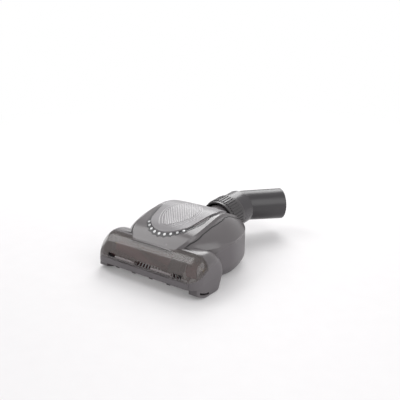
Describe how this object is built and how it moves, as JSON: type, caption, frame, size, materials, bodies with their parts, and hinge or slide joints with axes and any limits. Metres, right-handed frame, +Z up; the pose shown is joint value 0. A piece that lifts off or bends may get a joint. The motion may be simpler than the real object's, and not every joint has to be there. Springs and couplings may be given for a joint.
{
  "type": "vacuum turbo brush",
  "caption": "Hand-held vacuum brush head: a belt-driven roller turned by an air turbine under a clear front window, with a swivelling bent tube behind a ribbed collar.",
  "frame": {"origin": "on the floor plane of the sole, on the mid-plane, under the turbine's axis", "axes": "+Z up, -Y towards the front lip, +X to the belt's side"},
  "size_m": [0.135, 0.2294, 0.0612],
  "materials": {
    "base": "grey moulded plastic, satin",
    "cover": "grey moulded plastic, polished",
    "smoke_window": "clear smoke brown plastic",
    "pad": "light grey plastic with fine ribs",
    "dark_trim": "dark grey moulded plastic",
    "bright_pips": "bright polished plastic",
    "guard_black": "black moulded plastic",
    "inner_grey": "dark grey moulded plastic",
    "bushes": "plain sintered bushes",
    "belt_rubber": "black belt rubber",
    "screw_steel": "zinc plated steel",
    "stud_rubber": "black rubber",
    "ring_plastic": "natural acetal",
    "roller_plastic": "dark red moulded plastic",
    "bristles": "stiff dark red fibre",
    "axle_steel": "ground steel",
    "pulley_plastic": "natural acetal",
    "turbine_plastic": "light moulded plastic",
    "collar_black": "black grained plastic",
    "felt": "black felt",
    "tube_dark": "dark grey moulded plastic, satin",
    "band_dark": "dark grey moulded plastic, polished"
  },
  "bodies": {
    "head": {"base_shell": "base", "top_cover": "cover", "front_window": "smoke_window", "grip_pad": "pad", "deck_trim": "dark_trim", "trim_pips": "bright_pips", "belt_guard": "guard_black", "turbine_housing": "inner_grey", "roller_bush_left": "bushes", "roller_bush_right": "bushes", "turbine_bush_left": "bushes", "turbine_bush_right": "bushes", "drive_belt": "belt_rubber", "housing_screws": "screw_steel", "lip_studs": "stud_rubber", "swivel_ring": "ring_plastic", "neck_tube": "cover"},
    "roller": {"roller_core": "roller_plastic", "roller_bristles": "bristles", "roller_axle": "axle_steel", "roller_pulley": "pulley_plastic"},
    "turbine": {"turbine_wheel": "turbine_plastic", "turbine_shaft": "axle_steel", "turbine_pulley": "pulley_plastic"},
    "elbow": {"grip_collar": "collar_black", "swivel_seal": "felt", "elbow_band": "band_dark", "elbow_tube": "tube_dark"}
  },
  "joints": [
    {"name": "roller_spin", "type": "hinge", "parent": "head", "child": "roller", "pos_m": [0, -0.04, 0.0188], "axis": [1, 0, 0], "continuous": true},
    {"name": "turbine_spin", "type": "hinge", "parent": "head", "child": "turbine", "pos_m": [0, 0, 0.0305], "axis": [1, 0, 0], "continuous": true},
    {"name": "elbow_swivel", "type": "hinge", "parent": "head", "child": "elbow", "pos_m": [0, 0.0615, 0.0321], "axis": [0, 0.9962, 0.0872], "continuous": true}
  ],
  "couplings": [
    {"joint": "turbine_spin", "follows": "roller_spin", "ratio": 1.6154}
  ]
}
